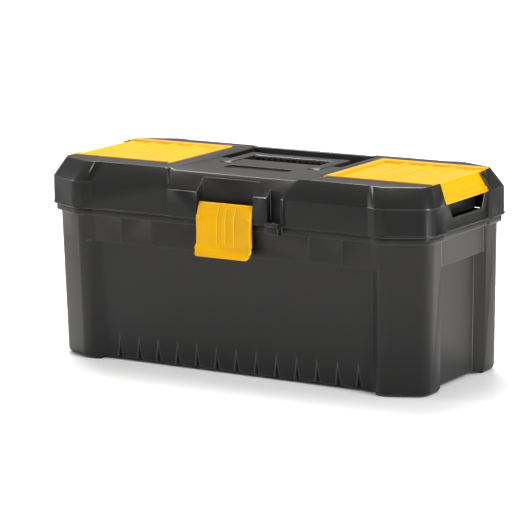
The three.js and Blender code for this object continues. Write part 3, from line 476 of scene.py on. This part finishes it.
@dataclass
class Lid:
    """The lid of the box, its organiser lids, handle, latch and pins.

    Attributes:
        bead_up_mm: Height of the bead along the lid's foot.
        bead_proud_mm: How far the bead stands out of the wall.
        wall_steps_mm: How far the outer wall steps back from its outermost places.
        wall_reach_mm: Depth within which the wall lies, so that the hinge knuckles are left out.
        end_wall_mm: Distance from the middle past which only the end walls lie.
        small_edge_mm: Radius on the thin yellow pieces.
        handle_edge_mm: Radius on the handle.
    """

    bead_up_mm: float = 1.9
    bead_proud_mm: float = 0.5
    wall_steps_mm: float = 2.5
    wall_reach_mm: float = 88.0
    end_wall_mm: float = 190.0
    small_edge_mm: float = 0.35
    handle_edge_mm: float = 0.7

    def bead(self, bm: bmesh.types.BMesh) -> None:
        """Raises the bead that runs along the foot of the lid's outer wall.

        Args:
            bm: The lid's cleaned mesh.
        """
        rim = min(v.co.z for v in bm.verts if abs(v.co.x) > self.end_wall_mm * MM)
        top = rim + self.bead_up_mm * MM
        bmesh.ops.bisect_plane(
            bm, geom=bm.verts[:] + bm.edges[:] + bm.faces[:], dist=SAME_PLACE,
            plane_co=(0, 0, top), plane_no=(0, 0, 1))
        outline = [
            v.co.copy() for v in bm.verts
            if v.co.z < top + SAME_HEIGHT and abs(v.co.y) < self.wall_reach_mm * MM]
        strip = [f for f in bm.faces if self.is_outer_foot(f, rim, top, outline)]
        LOG.info("bead of %d faces from %.1f to %.1f mm", len(strip), rim / MM, top / MM)
        bmesh.ops.inset_region(
            bm, faces=strip, thickness=0.0, depth=self.bead_proud_mm * MM,
            use_even_offset=True, use_boundary=True)

    def is_outer_foot(self, face: bmesh.types.BMFace, rim: float, top: float, outline: list[Vector]) -> bool:
        """Says whether a face is part of the strip at the foot of the outer wall.

        Args:
            face: The face.
            rim: Height of the lid's rim.
            top: Height of the bead's top.
            outline: Places that bound the wall's foot.

        Returns:
            True for an upright face of the strip that is the outermost one its own way.
        """
        heights = [v.co.z for v in face.verts]
        if abs(face.normal.z) > UPRIGHT:
            return False
        if min(heights) < rim - SAME_HEIGHT or max(heights) > top + SAME_HEIGHT:
            return False
        reach = max(place.dot(face.normal) for place in outline)
        return face.calc_center_median().dot(face.normal) > reach - self.wall_steps_mm * MM

    def build(self) -> None:
        """Builds the lid and everything that it carries."""
        MouldedPart("lid_shell", "lid", "shell", CHARCOAL, CHARCOAL_EDGE_HIGHLIGHT, shaping=self.bead).build()
        MouldedPart("carry_handle", "handle", "shell", HANDLE_GREY, CHARCOAL_EDGE_HIGHLIGHT, self.handle_edge_mm).build()
        MouldedPart("front_latch", "latch", "yellow", SIGNAL_YELLOW, YELLOW_EDGE_HIGHLIGHT, self.small_edge_mm).build()
        for side in Side:
            word = side.name.lower()
            MouldedPart(
                f"organiser_lid_{word}", f"organiser_{word}", "yellow", SIGNAL_YELLOW, YELLOW_EDGE_HIGHLIGHT,
                self.small_edge_mm).build()
            Pin(f"handle_pin_{word}", "lid", ZINC_WIRE).build()
        Pin("latch_pin", "lid", ZINC_WIRE).build()


@dataclass
class Base:
    """The base of the box with its hinge pins and its tray."""

    tray_edge_mm: float = 0.5

    def build(self) -> None:
        """Builds the base, its pins and the tray."""
        MouldedPart("base_shell", "base", "shell", CHARCOAL, CHARCOAL_EDGE_HIGHLIGHT).build()
        MouldedPart("inner_tray", "tray", "tray", TRAY_BLACK, TRAY_BLACK, self.tray_edge_mm).build()
        for side in Side:
            Pin(f"hinge_pin_{side.name.lower()}", "base", ZINC_WIRE).build()


@dataclass
class SoftLight:
    """A large soft panel of light.

    Attributes:
        name: What the panel is called.
        place: Where it hangs, in metres.
        width: Its side, in metres.
        power: Its power, in watts.
        colour: Its linear colour.
        aim: The place that it faces.
        spread_deg: Width of its beam; 180 is the full spread.
    """

    name: str
    place: tuple[float, float, float]
    width: float
    power: float
    colour: tuple[float, float, float] = (1.0, 1.0, 1.0)
    aim: tuple[float, float, float] = (0.0, 0.0, 0.1)
    spread_deg: float = 180.0

    def build(self) -> None:
        """Hangs the panel and turns it to its aim."""
        lamp = bpy.data.lights.new(self.name, "AREA")
        lamp.shape = "SQUARE"
        lamp.size = self.width
        lamp.energy = self.power
        lamp.color = self.colour
        lamp.spread = math.radians(self.spread_deg)
        holder = bpy.data.objects.new(self.name, lamp)
        holder.location = self.place
        holder.rotation_euler = (Vector(self.aim) - Vector(self.place)).to_track_quat("-Z", "Y").to_euler()
        bpy.context.scene.collection.objects.link(holder)


@dataclass
class Studio:
    """The pale floor, the soft lights and the camera, whose turn, lens and distance are fitted to the view."""

    azimuth_deg: float = 32.595
    elevation_deg: float = 11.344
    roll_deg: float = -1.015
    lens_mm: float = 201.47
    sensor_mm: float = 36.0
    distance: float = 2.7387
    aim_up: float = 0.095
    aim_right_mm: float = -10.365
    aim_rise_mm: float = -4.905
    floor_half: float = 6.0
    far_clip: float = 50.0
    room_light: float = 0.48

    def camera(self) -> None:
        """Places the camera by its turn, height, roll and distance."""
        az, el, roll = (math.radians(a) for a in (self.azimuth_deg, self.elevation_deg, self.roll_deg))
        ahead = Vector((-math.sin(az) * math.cos(el), math.cos(az) * math.cos(el), -math.sin(el)))
        level = Vector((math.cos(az), math.sin(az), 0))
        rise = level.cross(ahead)
        right = math.cos(roll) * level + math.sin(roll) * rise
        up = -math.sin(roll) * level + math.cos(roll) * rise
        aim = Vector((0, 0, self.aim_up)) + right * self.aim_right_mm * MM + up * self.aim_rise_mm * MM
        data = bpy.data.cameras.new("camera")
        data.lens = self.lens_mm
        data.sensor_width = self.sensor_mm
        data.clip_end = self.far_clip
        holder = bpy.data.objects.new("camera", data)
        turn = Matrix((right, up, -ahead)).transposed().to_4x4()
        holder.matrix_world = Matrix.Translation(aim - ahead * self.distance) @ turn
        bpy.context.scene.collection.objects.link(holder)
        bpy.context.scene.camera = holder

    def floor(self) -> None:
        """Lays the plain pale floor."""
        bm = bmesh.new()
        bmesh.ops.create_grid(bm, x_segments=1, y_segments=1, size=self.floor_half)
        mesh = bpy.data.meshes.new("floor")
        bm.to_mesh(mesh)
        bm.free()
        floor = bpy.data.objects.new("floor", mesh)
        bpy.context.scene.collection.objects.link(floor)
        material, tree, place = blank_material("matt white paper")
        fibre = add_node(tree, "ShaderNodeTexNoise", {"Vector": place, "Scale": 1 / (30 * MM), "Detail": 2.0})
        tone = add_node(tree, "ShaderNodeMix", {
            "Factor": fibre.outputs["Fac"], "A": linear("fafafa"), "B": linear("f7f7f7")}, data_type="RGBA")
        shader = add_node(tree, "ShaderNodeBsdfPrincipled", {
            "Base Color": tone.outputs["Result"], "Roughness": 0.9})
        add_node(tree, "ShaderNodeOutputMaterial", {"Surface": shader.outputs["BSDF"]})
        mesh.materials.append(material)

    def lights(self) -> None:
        """Lights the room evenly, with soft panels right, left, above, and over the floor behind.

        The view transform is Standard, because the default turns the yellow and the charcoal pale.
        """
        bpy.context.scene.view_settings.view_transform = "Standard"
        world = bpy.data.worlds.new("room")
        world.use_nodes = True
        sky = world.node_tree.nodes["Background"].inputs
        sky["Color"].default_value = (1, 1, 1, 1)
        sky["Strength"].default_value = self.room_light
        bpy.context.scene.world = world
        SoftLight("panel right", (2.1, -0.6, 1.0), 0.9, 48).build()
        SoftLight("panel above", (-0.6, 0.7, 2.0), 1.2, 64, (1.0, 0.97, 0.94)).build()
        SoftLight("panel left", (-2.2, -0.9, 1.0), 0.8, 14).build()
        SoftLight("panel behind", (-2.6, 4.0, 4.0), 2.4, 150, aim=(-2.6, 4.0, 0.0), spread_deg=70.0).build()

    def build(self) -> None:
        """Builds the studio."""
        self.camera()
        self.floor()
        self.lights()


def main() -> None:
    """Builds the studio and the box."""
    logging.basicConfig(level=logging.INFO, format="%(name)s %(message)s")
    Studio().build()
    Base().build()
    Lid().build()


if __name__ == "__main__":
    main()
